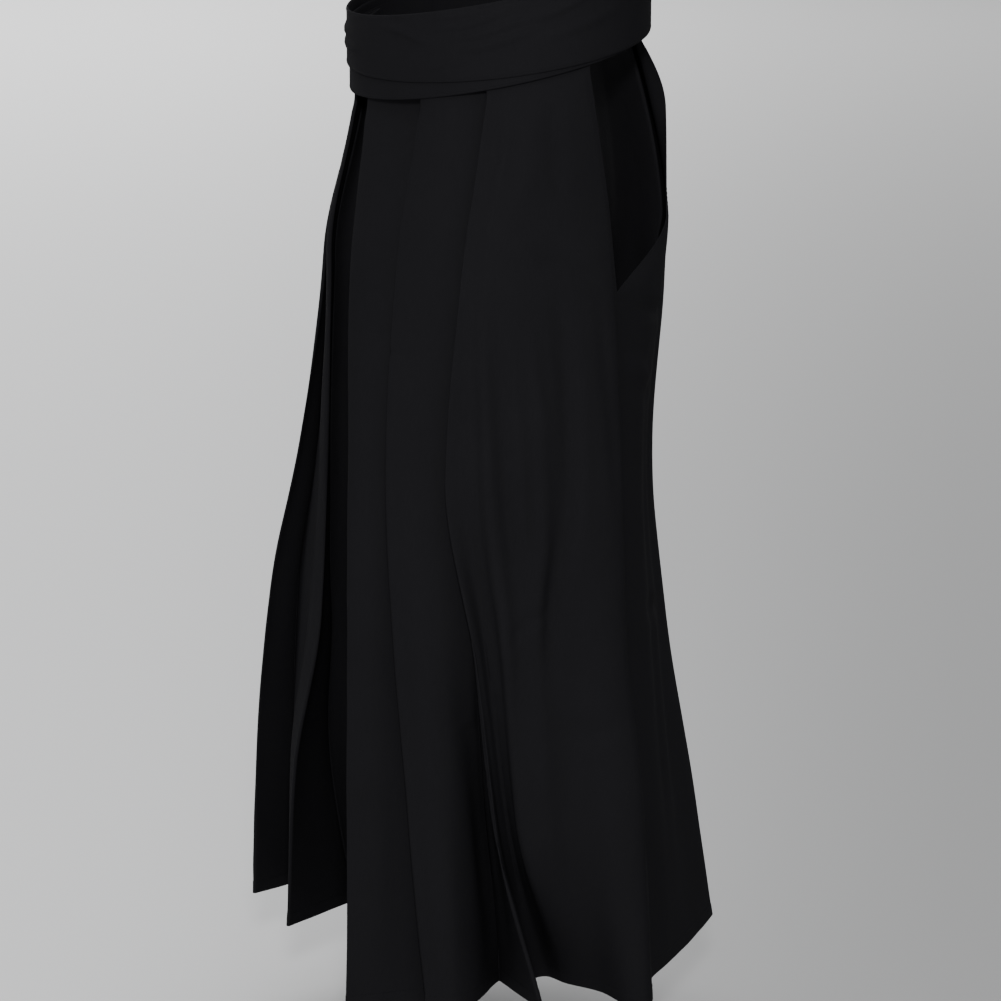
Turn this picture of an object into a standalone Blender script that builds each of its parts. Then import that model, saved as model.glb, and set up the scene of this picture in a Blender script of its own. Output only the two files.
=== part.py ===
"""Hakama trousers: wide pleated trousers, one tube for each leg, under a belt wound twice.

The wearer faces -Y and their left is +X. The origin is the middle of the waist, half-way up
the belt. Tables are in millimetres, and the mesh is made in metres.

Each half of the garment is a front panel, a back panel and an inner-leg panel. A panel is a
wall of cloth through level rows. In each row the cloth runs from one fold to the next, and the
tables give the place of each fold at some heights, in the panel's own quarter: `out` is the
distance from the middle line to the panel's side, `away` the distance from the body's axis
forward on a front panel and backward on a back panel.
"""
from collections import namedtuple

import bmesh
import bpy
import numpy as np

MM = 0.001
BACKWARD = (1.0, -1.0)     # turns a place in a front's quarter to the back's, or the reverse
CLOTH = 1.6                # thickness of a panel
SEAM = 0.3                 # gap between two panels where they are sewn together
LAYERS = 4.0               # distance between the layers of a pressed pleat
WAIST = (159.0, 129.0)     # half width and half depth of the panels' tops, under the belt
BELT_HEIGHT = 77.0
BELT_CLOTH = 2.4           # a wound belt is two layers of cloth
BELT_TILT = 0.25           # the belt is lower in front: rise for each mm backward
UNDER_WRAP_TOP = 28.0
WRAP_EDGE = (-24.5, 12.5, 1.0)   # the outer wrap's lower edge: middle height, swing, and lag in radians
BELT_COLUMNS = 72
BELT_ROWS = 4
BELT_ANGLES = np.linspace(0.0, 2 * np.pi, BELT_COLUMNS, endpoint=False)   # from the front, to the left
PANEL_TOP = 20.0           # how far the panels run up behind the belt
UNDER_BELT = -60.0         # rows above this lie behind the belt
VENT = -245.0              # lower end of the side openings
VENT_NOTCH = 1.2           # how much further the seam's last stitch leaves the edges apart
CROTCH = -410.0
HEM = -910.0
FOLDS_SET = -45.0          # the folds' places start here, and keep these places up to the top
COLUMN_STEP = 24.0         # about how far apart the points of a row are
FEWEST, MOST = 2, 6        # points in a stretch between two folds
STRAIGHT_ON = 1.2          # how strongly a fold's cloth heads for the next fold
BLACK = (0.010, 0.010, 0.011)
BELT_BLACK = (0.011, 0.011, 0.012)
OPENING_POWER = 3.0        # how late the pleats open on their way down

LEG_ROWS = [VENT, -300.0, -355.0, CROTCH, -465.0, -520.0, -570.0, -627.0, -684.0, -740.0,
            -797.0, -854.0, HEM]
FRONT_TOP_ROWS = [PANEL_TOP, -20.0, -55.0, -100.0, -150.0, -200.0]
BACK_TOP_ROWS = [PANEL_TOP, -20.0, -55.0, -100.0, -145.0, -190.0, -206.0, -221.0, -234.0]

# Kinds of row in the tables: `seam` ends a panel, `soft` is a rounded crest, `hollow` a rounded
# hollow, and `pleat` a pressed fold whose edge faces the middle. The cloth before a pleat's edge
# runs under it by `tuck` and lies `drop` further in, each given at the waist and at the hem.
FrontFold = namedtuple("FrontFold", "name kind waist hip thigh knee shin hem tuck drop")
FRONT_HEIGHTS = [FOLDS_SET, -220.0, CROTCH, -570.0, -740.0, HEM]
LEFT_FRONT = [
    FrontFold("centre", "seam", (0, 116), (0, 118), (0, 100), (-4, 90), (-8, 82), (-12, 75), None, None),
    FrontFold("first", "pleat", (-14, 128), (5, 155), (36, 174), (60, 188), (76, 198), (88, 206),
              (28, 70), (6, 53)),
    FrontFold("second", "pleat", (70, 114), (66, 138), (68, 150), (88, 153), (109, 148), (121, 137),
              (24, 5), (9, 20)),
    FrontFold("between", "soft", (101, 99), (98, 118), (100, 124), (118, 119), (130, 116), (137, 115),
              None, None),
    FrontFold("third", "pleat", (126, 76), (125, 101), (122, 117), (138, 98), (133, 74), (170, 44),
              (24, -35), (6, 88)),
    FrontFold("hollow", "hollow", (136, 63), (132, 94), (131, 102), (133, 82), (118, 52), (95, 2),
              None, None),
    FrontFold("ripple", "hollow", (144, 52), (143, 85), (148, 83), (157, 72), (152, 56), (125, -10),
              None, None),
    FrontFold("ripple hollow", "hollow", (155, 24), (158, 30), (163, 28), (168, 35), (172, 24), (158, -26),
              None, None),
    FrontFold("side", "soft", (159, -2), (159, -32), (168, -39), (180, -39), (198, -47), (211, -45),
              None, None),
]
RIGHT_FRONT = [
    FrontFold("centre", "seam", (0, 116), (0, 118), (0, 100), (22, 84), (44, 66), (65, 50), None, None),
    FrontFold("first", "pleat", (62, 117), (62, 146), (74, 146), (84, 149), (128, 159), (158, 155),
              (24, 52), (6, 89)),
    FrontFold("second", "pleat", (118, 85), (106, 130), (149, 139), (197, 152), (247, 147), (272, 142),
              (24, 60), (6, 16)),
    FrontFold("outer", "soft", (146, 48), (160, 92), (192, 88), (232, 82), (280, 72), (316, 62),
              None, None),
    FrontFold("outer hollow", "hollow", (157, 15), (170, 38), (190, 36), (218, 30), (252, 18), (282, 8),
              None, None),
    FrontFold("side", "soft", (159, -3), (166, -30), (188, -38), (222, -40), (268, -42), (310, -45),
              None, None),
]
BackFold = namedtuple("BackFold", "name kind waist vent hip thigh knee shin hem tuck drop")
BACK_HEIGHTS = [FOLDS_SET, -190.0, VENT, CROTCH, -570.0, -740.0, HEM]
LEFT_BACK = [
    BackFold("centre", "seam", (0, 117), (0, 134), (0, 132), (0, 106), (-4, 108), (-8, 112), (-12, 116),
             None, None),
    BackFold("back", "pleat", (20, 127), (44, 158), (44, 157), (46, 143), (42, 161), (35, 198), (12, 240),
             (20, 60), (6, 60)),
    BackFold("back hollow", "hollow", (38, 124), (56, 155), (78, 136), (84, 114), (82, 128), (78, 152),
             (66, 186), None, None),
    BackFold("back outer", "soft", (50, 121), (66, 149), (116, 98), (122, 90), (124, 98), (124, 112),
             (116, 128), None, None),
]
RIGHT_BACK = [
    BackFold("centre", "seam", (0, 117), (0, 134), (0, 132), (0, 106), (22, 104), (44, 104), (65, 106),
             None, None),
    BackFold("back", "pleat", (20, 127), (40, 160), (44, 156), (52, 145), (66, 164), (92, 196), (118, 222),
             (20, 60), (6, 60)),
    BackFold("back hollow", "hollow", (38, 124), (54, 155), (80, 136), (96, 122), (122, 138), (160, 158),
             (196, 180), None, None),
    BackFold("back outer", "soft", (50, 121), (64, 149), (118, 100), (140, 98), (172, 108), (216, 118),
             (252, 128), None, None),
]
# The side seam runs from the vent to the hem. Above it, the front and the back have an edge each.
Edge = namedtuple("Edge", "name heights places")
SEAM_HEIGHTS = [VENT, CROTCH, -570.0, -740.0, HEM]
LEFT_SEAM = Edge("side seam", SEAM_HEIGHTS, [(150, 44), (150, 50), (155, 52), (163, 66), (161, 77)])
RIGHT_SEAM = Edge("side seam", SEAM_HEIGHTS, [(154, 46), (172, 56), (200, 62), (240, 70), (274, 78)])
FRONT_VENT = Edge("front vent edge", [FOLDS_SET, -150.0, VENT], [(157, 10), (157, 28), (150, 44)])
BACK_VENT = Edge("back vent edge", [FOLDS_SET, -110.0, -190.0, VENT],
                 [(60, 118), (70, 142), (76, 141), (150, 44)])
INNER_HEIGHTS = [CROTCH, -570.0, -740.0, HEM]
LEFT_INNER = Edge("inner leg", INNER_HEIGHTS, [(1, 0), (-8, 8), (-16, 14), (-24, 20)])
RIGHT_INNER = Edge("inner leg", INNER_HEIGHTS, [(1, 0), (28, 8), (54, 20), (78, 28)])


def through(heights, places, z):
    """Smooth curve through places at heights, read at z, which never swings past a place."""
    h = np.asarray(heights, float)
    p = np.asarray(places, float)
    step = np.diff(p, axis=0) / np.diff(h)[:, None]
    above, below = step[:-1], step[1:]
    same_way = above * below > 0
    mean = 2 * above * below / np.where(same_way, above + below, 1.0)
    slope = np.vstack([step[:1], np.where(same_way, mean, 0.0), step[-1:]])
    z = min(max(z, h[-1]), h[0])
    i = int(np.clip(np.searchsorted(-h, -z, side="right") - 1, 0, len(h) - 2))
    span = h[i + 1] - h[i]
    s = (z - h[i]) / span
    ease = s * s * (3 - 2 * s)
    return (p[i] * (1 - ease) + p[i + 1] * ease
            + slope[i] * span * s * (1 - s) ** 2 - slope[i + 1] * span * s * s * (1 - s))


def unit(v):
    return v / max(np.linalg.norm(v), 1e-9)


def inner_side(way):
    """The direction to the inside of the garment, for a way along the cloth."""
    return np.array([way[1], -way[0]])


class Stop:
    """A place that the cloth passes in a row, with its ways in and out."""

    def __init__(self, place, fold=None, run=None):
        self.place = np.asarray(place, float)
        self.fold = fold
        self.run = run
        self.way_in = self.way_out = None

    def points(self):
        """One point, or for a pressed fold the two corners of its edge and the nose between."""
        if self.fold is None:
            return [self.place]
        tip = unit(self.way_in - self.way_out)
        corner = inner_side(tip) * (1.0 if self.fold == "hollow" else -1.0) * LAYERS / 2
        return [self.place + corner, self.place + tip * LAYERS / 2, self.place - corner]


def panel_stops(table, heights, edge, z):
    """The places that a panel passes at one height, from the middle to its side."""
    places = [through(heights, row[2:2 + len(heights)], z) for row in table]
    if z > UNDER_BELT:
        places = [clamp_to_waist(place, LAYERS / 2) for place in places]
    if z >= CROTCH:
        places[0][0] = 0.0
    opened = min(max(z / HEM, 0.0), 1.0) ** OPENING_POWER
    found = []
    for i, row in enumerate(table):
        if row.kind != "pleat":
            found.append(Stop(places[i]))
            continue
        before = places[max(k for k in range(i) if table[k].kind != "hollow")]
        after = places[min(k for k in range(i + 1, len(table)) if table[k].kind != "hollow")]
        along = unit(after - places[i])
        run = unit(after - before)
        tuck = row.tuck[0] + (row.tuck[1] - row.tuck[0]) * opened
        drop = row.drop[0] + (row.drop[1] - row.drop[0]) * opened
        found.append(Stop(places[i] + along * tuck + inner_side(along) * drop, "hollow", run))
        found.append(Stop(places[i], "crest", run))
    found.append(Stop(edge))
    return found


def set_ways(path, z, first, last):
    """Set the ways at each stop. The higher a pressed fold is, the more it lies flat."""
    flat = 1.0 - min(max(z / HEM, 0.0), 1.0)
    for i, stop in enumerate(path):
        before = unit(stop.place - path[i - 1].place) if i else 0.0
        after = unit(path[i + 1].place - stop.place) if i + 1 < len(path) else 0.0
        if stop.fold is None:
            stop.way_in = stop.way_out = unit(before + after)
            continue
        back = 1.0 if stop.fold == "hollow" else -1.0
        stop.way_in = unit(back * flat * stop.run + (STRAIGHT_ON - flat) * before)
        stop.way_out = unit(-back * flat * stop.run + (STRAIGHT_ON - flat) * after)
    if first is not None:
        path[0].way_out = first
    if last is not None:
        path[-1].way_in = last


def segment_counts(paths):
    """How many points each stretch between stops gets, from its greatest length in any row."""
    counts = []
    for i in range(len(paths[0]) - 1):
        length = max(np.linalg.norm(p[i + 1].place - p[i].place) for p in paths)
        counts.append(min(max(round(length / COLUMN_STEP), FEWEST), MOST))
    return counts


def row_points(path, counts):
    """Points along one row of cloth, with the same number in each stretch in every row."""
    points = list(path[0].points())
    for here, there, count in zip(path, path[1:], counts):
        start, end = points[-1], there.points()[0]
        reach = np.linalg.norm(end - start)
        for k in range(1, count):
            s = k / count
            ease = s * s * (3 - 2 * s)
            points.append(start * (1 - ease) + end * ease
                          + here.way_out * reach * s * (1 - s) ** 2
                          - there.way_in * reach * s * s * (1 - s))
        points += there.points()
    return np.array(points)


class Half:
    """One half of the garment: its tables, and the sign of X on its side."""

    def __init__(self, side, front, back, seam, inner):
        self.side = side
        self.front = front
        self.back = back
        self.seam = seam
        self.inner = inner

    def edge(self, own, z):
        return through(*(self.seam if z <= VENT else own)[1:], z)

    def paths(self, z):
        """The front path, the back path and the inner-leg path at one height."""
        front = panel_stops(self.front, FRONT_HEIGHTS, self.edge(FRONT_VENT, z) * BACKWARD, z)
        back = panel_stops(self.back, BACK_HEIGHTS, self.edge(BACK_VENT, z), z)
        level = np.array([1.0, 0.0])
        seam = unit(back[-2].place * BACKWARD - front[-2].place) if z <= VENT else None
        inner = None
        if z < CROTCH:
            inner = [Stop(back[0].place * BACKWARD),
                     Stop(through(*self.inner[1:], z)),
                     Stop(front[0].place)]
            set_ways(inner, z, None, None)
            level = unit(level * (z - HEM) + np.array([0.0, 1.0]) * (CROTCH - z))
        set_ways(front, z, level, seam)
        set_ways(back, z, level, None if seam is None else -seam * BACKWARD)
        return front, back, inner


def clamp_to_waist(places, margin=0.0):
    """Bring places that stand outside the waist's outline back onto it."""
    size = np.hypot(places[..., 0] / (WAIST[0] - margin), places[..., 1] / (WAIST[1] - margin))
    return places / np.maximum(size, 1.0)[..., None]


def place_rows(rows, heights, side, turn):
    """World points, in millimetres, of rows in a panel's quarter. The tops follow the belt."""
    grid = np.zeros((len(rows), len(rows[0]), 3))
    for j, (row, z) in enumerate(zip(rows, heights)):
        if z > UNDER_BELT:
            row = clamp_to_waist(row)
        s = min(max((z - VENT) / (FOLDS_SET - VENT), 0.0), 1.0)
        y = turn * row[:, 1]
        grid[j] = np.column_stack((side * row[:, 0], y, z + BELT_TILT * y * s * s * (3 - 2 * s)))
    return grid


def sewn(grid, before, after):
    """Draw a panel's two edges back by half a seam, and give it a column from each neighbour.

    `before` and `after` hold a neighbour's point for each row, or None where the edge is free.
    The wall takes its edges' directions from them, so that two edges face each other squarely.
    """
    sides = []
    for near, next_in, other in ((0, 1, before), (-1, -2, after)):
        column = 2 * grid[:, near] - grid[:, next_in]
        for j, point in enumerate(other):
            if point is not None:
                column[j] = point
                gap = SEAM / 2 + (VENT_NOTCH if near and j and other[j - 1] is None else 0.0)
                grid[j, near] += unit(grid[j, next_in] - point) * gap
        sides.append(column)
    return np.concatenate([sides[0][:, None], grid, sides[1][:, None]], axis=1)


def wall(name, grid, thickness, colour, closed=False):
    """A closed wall of cloth around a grid of points in millimetres.

    The grid has one column more at each side than the wall. A closed wall has its last column
    and its first there.
    """
    normal = np.cross(np.gradient(grid, axis=1), np.gradient(grid, axis=0))[:, 1:-1]
    normal /= np.linalg.norm(normal, axis=2, keepdims=True)
    grid = grid[:, 1:-1]
    rows, cols = grid.shape[:2]
    points = np.concatenate([(grid + normal * thickness / 2).reshape(-1, 3),
                             (grid - normal * thickness / 2).reshape(-1, 3)]) * MM
    number = np.arange(rows * cols).reshape(rows, cols)
    if closed:
        number = np.concatenate([number, number[:, :1]], axis=1)
    other = number + rows * cols
    quads = [(number[:-1, :-1], number[:-1, 1:], number[1:, 1:], number[1:, :-1]),
             (other[:-1, :-1], other[1:, :-1], other[1:, 1:], other[:-1, 1:]),
             (number[0, :-1], other[0, :-1], other[0, 1:], number[0, 1:]),
             (number[-1, :-1], number[-1, 1:], other[-1, 1:], other[-1, :-1])]
    if not closed:
        quads += [(number[:-1, 0], number[1:, 0], other[1:, 0], other[:-1, 0]),
                  (number[:-1, -1], other[:-1, -1], other[1:, -1], number[1:, -1])]
    faces = np.concatenate([np.stack(q, axis=-1).reshape(-1, 4) for q in quads])
    mesh = bpy.data.meshes.new(name)
    mesh.from_pydata(points.tolist(), [], faces.tolist())
    bm = bmesh.new()
    bm.from_mesh(mesh)
    bmesh.ops.recalc_face_normals(bm, faces=bm.faces)
    bm.to_mesh(mesh)
    bm.free()
    mesh.shade_smooth()
    mesh.materials.append(cloth_material(name, colour))
    thing = bpy.data.objects.new(name, mesh)
    bpy.context.scene.collection.objects.link(thing)
    return thing


def cloth_material(name, colour):
    """Plain matt cotton in one colour."""
    material = bpy.data.materials.new(name + "_cloth")
    material.use_nodes = True
    shader = material.node_tree.nodes["Principled BSDF"]
    shader.inputs["Base Color"].default_value = (*colour, 1.0)
    shader.inputs["Roughness"].default_value = 0.9
    shader.inputs["Metallic"].default_value = 0.0
    return material


def panel_grid(half, which, heights, turn):
    """The points of a front (0), back (1) or inner-leg (2) panel, row by row, in the world."""
    paths = [half.paths(z)[which] for z in heights]
    counts = segment_counts(paths)
    return place_rows([row_points(p, counts) for p in paths], heights, half.side, turn)


def leg_panels(half, label):
    """The front, back and inner-leg panels of one half."""
    front = panel_grid(half, 0, FRONT_TOP_ROWS + LEG_ROWS, -1.0)
    back = panel_grid(half, 1, BACK_TOP_ROWS + LEG_ROWS, 1.0)
    low_rows = [z for z in LEG_ROWS if z < CROTCH]
    inner = panel_grid(half, 2, low_rows, -1.0)
    top = np.zeros_like(inner[0])
    top[:, 0] = half.side * (CLOTH / 2 + SEAM / 2)
    set_in = CLOTH / 2 + 4 * SEAM
    crotch_front = len(FRONT_TOP_ROWS) + LEG_ROWS.index(CROTCH)
    crotch_back = len(BACK_TOP_ROWS) + LEG_ROWS.index(CROTCH)
    top[:, 1] = np.linspace(back[crotch_back, 0, 1] - set_in, front[crotch_front, 0, 1] + set_in, len(top))
    top[:, 2] = CROTCH
    mirror = np.array([-1.0, 1.0, 1.0])
    sheets = (("front", front, back, FRONT_TOP_ROWS, -1), ("back", back, front, BACK_TOP_ROWS, 0))
    walls = {}
    for word, grid, across, top_rows, inner_end in sheets:
        upper = len(grid) - len(low_rows)
        middle = [row[1] * mirror for row in grid[:upper]]
        middle += [row[1 if inner_end == 0 else -2] for row in inner]
        side = [None] * len(top_rows) + list(across[-len(LEG_ROWS):, -2])
        walls[word] = sewn(grid.copy(), middle, side)
    before = [None] + list(back[-len(low_rows):, 1])
    after = [None] + list(front[-len(low_rows):, 1])
    walls["inner_leg"] = sewn(np.concatenate([top[None], inner]), before, after)
    for word, grid in walls.items():
        wall(f"{word}_{label}", grid, CLOTH, BLACK)


def belt_wrap(name, lower, upper, layer):
    """One turn of the belt, given the heights of its edges at each of its columns."""
    out = CLOTH / 2 + SEAM + BELT_CLOTH / 2 + layer * (BELT_CLOTH + SEAM)
    x = (WAIST[0] + out) * np.sin(BELT_ANGLES)
    y = -(WAIST[1] + out) * np.cos(BELT_ANGLES)
    grid = np.zeros((BELT_ROWS, BELT_COLUMNS, 3))
    for j, s in enumerate(np.linspace(0, 1, BELT_ROWS)):
        z = upper * (1 - s) + lower * s + BELT_TILT * y
        grid[j] = np.column_stack((x, y, z))
    ring = np.concatenate([grid[:, -1:], grid, grid[:, :1]], axis=1)
    wall(name, ring, BELT_CLOTH, BELT_BLACK, closed=True)


def start_afresh():
    for thing in list(bpy.data.objects):
        bpy.data.objects.remove(thing)


start_afresh()
leg_panels(Half(1.0, LEFT_FRONT, LEFT_BACK, LEFT_SEAM, LEFT_INNER), "left")
leg_panels(Half(-1.0, RIGHT_FRONT, RIGHT_BACK, RIGHT_SEAM, RIGHT_INNER), "right")
level = np.full(BELT_COLUMNS, BELT_HEIGHT / 2)
belt_wrap("belt_under_wrap", -level, np.full(BELT_COLUMNS, UNDER_WRAP_TOP), 0)
middle, swing, lag = WRAP_EDGE
belt_wrap("belt_outer_wrap", middle + swing * np.cos(BELT_ANGLES + lag), level, 1)
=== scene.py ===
import math
from collections import namedtuple

import bpy
import numpy as np
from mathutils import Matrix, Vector


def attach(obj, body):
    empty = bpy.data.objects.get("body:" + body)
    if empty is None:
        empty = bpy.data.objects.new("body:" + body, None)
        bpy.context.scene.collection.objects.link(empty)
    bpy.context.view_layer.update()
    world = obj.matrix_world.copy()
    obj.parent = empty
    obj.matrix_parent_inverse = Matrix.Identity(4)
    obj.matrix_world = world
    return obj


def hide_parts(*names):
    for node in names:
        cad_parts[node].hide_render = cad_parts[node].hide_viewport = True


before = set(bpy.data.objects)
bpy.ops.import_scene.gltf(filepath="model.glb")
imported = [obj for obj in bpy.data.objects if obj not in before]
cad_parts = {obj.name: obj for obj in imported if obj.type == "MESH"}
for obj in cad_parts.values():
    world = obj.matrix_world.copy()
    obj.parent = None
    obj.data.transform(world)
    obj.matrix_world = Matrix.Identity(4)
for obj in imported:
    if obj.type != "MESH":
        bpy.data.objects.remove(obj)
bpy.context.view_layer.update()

# The camera stands three metres off, on the wearer's left and towards the front, and looks
# down a little. A long lens keeps the tall, narrow garment undistorted.
around, above, distance = math.radians(62.0), math.radians(11.0), 3.06
back = Vector((math.sin(around) * math.cos(above), -math.cos(around) * math.cos(above), math.sin(above)))
right = Vector((math.cos(around), math.sin(around), 0.0))
camera = bpy.data.objects.new("camera", bpy.data.cameras.new("camera"))
camera.data.lens = 114.4
camera.data.sensor_width = 36.0
looked_at = Vector((0.0, 0.0, -0.460)) + right * 0.003
camera.location = looked_at + back * distance
camera.rotation_euler = (-back).to_track_quat("-Z", "Y").to_euler()
bpy.context.scene.collection.objects.link(camera)
bpy.context.scene.camera = camera

# A plain pale floor lies below the hem, so wide that it fills the view behind the garment. Its
# colour darkens to the viewer's right as painted shade, a fan round the point below the camera.
# Spots whose cones end between the legs light the near leg, and soft boxes and a pale room do the rest.
floor_height, half_floor = -1.02, 90.0
floor_mesh = bpy.data.meshes.new("floor")
floor_mesh.from_pydata([(x * half_floor, y * half_floor, floor_height)
                        for x, y in ((-1, -1), (1, -1), (1, 1), (-1, 1))], [], [(0, 1, 2, 3)])
floor = bpy.data.objects.new("floor", floor_mesh)
bpy.context.scene.collection.objects.link(floor)
floor_painted_shade = bpy.data.materials.new("floor_painted_shade")
floor_painted_shade.use_nodes = True
paint_nodes, paint_links = floor_painted_shade.node_tree.nodes, floor_painted_shade.node_tree.links
paint = paint_nodes["Principled BSDF"]
paint.inputs["Roughness"].default_value = 0.95
floor_place = paint_nodes.new("ShaderNodeTexCoord")
turned = paint_nodes.new("ShaderNodeMapping")
turned.vector_type = "TEXTURE"
turned.inputs["Location"].default_value = (2.65, -1.41, floor_height)
turned.inputs["Rotation"].default_value = (0.0, 0.0, around + math.pi / 2)
# Painted shade: a radial gradient round the point below the camera sets the floor's colour.
painted_shade_fan = paint_nodes.new("ShaderNodeTexGradient")
painted_shade_fan.gradient_type = "RADIAL"
shade = paint_nodes.new("ShaderNodeValToRGB")
shade.color_ramp.interpolation = "EASE"
# The ramp paints shade on the floor: dark to the right of the view, pale to its left.
dark, pale = (0.285, 0.285, 0.285, 1.0), (0.72, 0.72, 0.72, 1.0)
right_of_view, left_of_view, behind_camera = 0.470, 0.530, 0.75
shade.color_ramp.elements[0].position, shade.color_ramp.elements[0].color = right_of_view, dark
shade.color_ramp.elements[1].position, shade.color_ramp.elements[1].color = left_of_view, pale
shade.color_ramp.elements.new(behind_camera).color = pale
shade.color_ramp.elements.new(1.0).color = dark
paint_links.new(floor_place.outputs["Object"], turned.inputs["Vector"])
paint_links.new(turned.outputs["Vector"], painted_shade_fan.inputs["Vector"])
paint_links.new(painted_shade_fan.outputs["Fac"], shade.inputs["Fac"])
paint_links.new(shade.outputs["Color"], paint.inputs["Base Color"])
floor_mesh.materials.append(floor_painted_shade)

world = bpy.data.worlds.new("room")
bpy.context.scene.world = world
world.use_nodes = True
world.node_tree.nodes["Background"].inputs["Color"].default_value = (0.97, 0.98, 1.0, 1.0)
world.node_tree.nodes["Background"].inputs["Strength"].default_value = 0.66


def soft_box(name, place, aim, size, watts):
    """A square soft box at a place, turned to face a point."""
    lamp = bpy.data.lights.new(name, "AREA")
    lamp.shape = "SQUARE"
    lamp.size = size
    lamp.energy = watts
    box = bpy.data.objects.new(name, lamp)
    box.location = place
    box.rotation_euler = (Vector(aim) - Vector(place)).to_track_quat("-Z", "Y").to_euler()
    bpy.context.scene.collection.objects.link(box)


def shaded_spot(name, bearing, height):
    """A wide spot at a bearing from the front and a height.

    The left edge of its cone passes between the two legs, so that the far leg stays in the dark.
    """
    reach, half_cone = 3.5, math.radians(60.0)
    place = Vector((math.sin(bearing) * reach, -math.cos(bearing) * reach, height))
    between_legs = Vector((0.004, -0.168, height))
    past_edge = between_legs - place
    aside = Vector((past_edge.y, -past_edge.x, 0.0))
    aim = aside * math.sin(half_cone) + past_edge * math.cos(half_cone)
    lamp = bpy.data.lights.new(name, "SPOT")
    lamp.spot_size = 2.0 * half_cone
    lamp.spot_blend = 0.02
    lamp.shadow_soft_size = 0.03
    lamp.energy = 10.0
    spot = bpy.data.objects.new(name, lamp)
    spot.location = place
    spot.rotation_euler = aim.to_track_quat("-Z", "Y").to_euler()
    bpy.context.scene.collection.objects.link(spot)


key_lights = [(26, 0.9), (31, -0.2), (36, 1.2), (41, 0.1), (46, 0.8), (51, -0.1)]    # degrees, metres
for number, (bearing, height) in enumerate(key_lights):
    shaded_spot("key_light_%d" % (number + 1), math.radians(bearing), height)
soft_box("camera_light", (2.95, -1.55, 0.80), (0.0, 0.0, -0.55), 0.3, 66.0)
soft_box("front_light", (1.7, -3.2, -0.3), (0.0, 0.0, -0.5), 2.0, 3.0)
soft_box("far_light", (-24.0, 8.0, 12.0), (-24.0, 8.0, -1.0), 36.0, 9500.0)

# The left front panel is one width of plain black cotton. It is pleated at the waist, where
# the belt holds the folds flat, and the three pleats open on their way down to the hem.
BACKWARD = np.array([1.0, -1.0])    # turns forwards into backwards, and backwards into forwards
CLOTH = 1.0                # thickness of a panel, in millimetres as all sizes of the cloth are
LAYERS = 2.4               # distance between the layers of a pressed pleat
SEAM_LAP = 0.2             # how far each panel reaches past its seam
HEM_FOLD = 0.7             # what the turned-in hem adds to the thickness
WAIST = np.array([159.0, 129.0])    # half the waist's width and half its depth
BELT_HEIGHT = 77.0
BELT_TILT = 0.25           # rise of the belt for each millimetre of the way back
ROW_STEP, COLUMN_STEP = 4.8, 4.6    # how far apart the mesh's points are, down and along the cloth
# Heights from the belt's middle:
PANEL_TOP, BELT_EDGE, UNDER_BELT, VENT = 20.0, -45.0, -60.0, -245.0
CROTCH, THIGH, SHIN, HEM = -410.0, -570.0, -740.0, -910.0
HEM_STITCHES = HEM + 12.5

# A fold's places are (outwards, forwards) from the waist's middle, or (outwards, backwards) on a
# back panel, one for each of the panel's heights. Tuck and drop are for its top and its hem.
Fold = namedtuple("Fold", "kind places tuck drop", defaults=(None, None))
LEFT_FRONT = [
    Fold("seam", [(0, 116), (0, 118), (0, 100), (-4, 90), (-8, 82), (-12, 75)]),
    Fold("pleat", [(-14, 128), (5, 155), (36, 174), (60, 188), (76, 198), (88, 206)], (28, 70), (6, 53)),
    Fold("pleat", [(70, 114), (66, 138), (68, 150), (88, 153), (109, 148), (121, 137)], (24, 5), (9, 20)),
    Fold("soft", [(101, 99), (98, 118), (100, 124), (118, 119), (130, 116), (137, 115)]),
    Fold("pleat", [(126, 76), (125, 101), (122, 117), (138, 98), (133, 74), (170, 44)], (24, -35), (6, 74)),
    Fold("hollow", [(136, 63), (132, 94), (131, 102), (133, 82), (118, 52), (95, 2)]),
    Fold("hollow", [(144, 52), (143, 85), (148, 83), (157, 72), (152, 56), (125, -10)]),
    Fold("hollow", [(155, 24), (158, 30), (163, 28), (168, 35), (172, 24), (158, -26)]),
    Fold("soft", [(159, -2), (159, -32), (168, -39), (180, -39), (198, -47), (211, -45)]),
]
FRONT_HEIGHTS = [BELT_EDGE, -220.0, CROTCH, THIGH, SHIN, HEM]
SEAM_HEIGHTS = [VENT, CROTCH, THIGH, SHIN, HEM]
LEFT_SEAM = (SEAM_HEIGHTS, [(150, 44), (150, 50), (155, 52), (163, 66), (161, 77)])
FRONT_VENT = ([BELT_EDGE, -150.0, VENT], [(157, 10), (157, 28), (150, 44)])
BACK_HEIGHTS = [BELT_EDGE, -190.0, VENT, CROTCH, THIGH, SHIN, HEM]
LEFT_BACK_OUTER = [(50, 121), (66, 149), (116, 98), (122, 90), (124, 98), (124, 112), (116, 128)]
INNER_HEIGHTS = [CROTCH, THIGH, SHIN, HEM]
LEFT_INNER = (INNER_HEIGHTS, [(1, 0), (-8, 8), (-16, 14), (-24, 20)])


def unit(v):
    """The vectors, each made one long."""
    return v / np.maximum(np.linalg.norm(v, axis=-1, keepdims=True), 1e-9)


def inner_side(way):
    """The direction to the inside of the garment, for a way along the cloth."""
    return np.stack([way[..., 1], -way[..., 0]], axis=-1)


def smooth(low, high, x):
    """0 below low, 1 above high, and 3s^2 - 2s^3 between them."""
    s = np.clip((x - low) / (high - low), 0.0, 1.0)
    return s * s * (3 - 2 * s)


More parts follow.
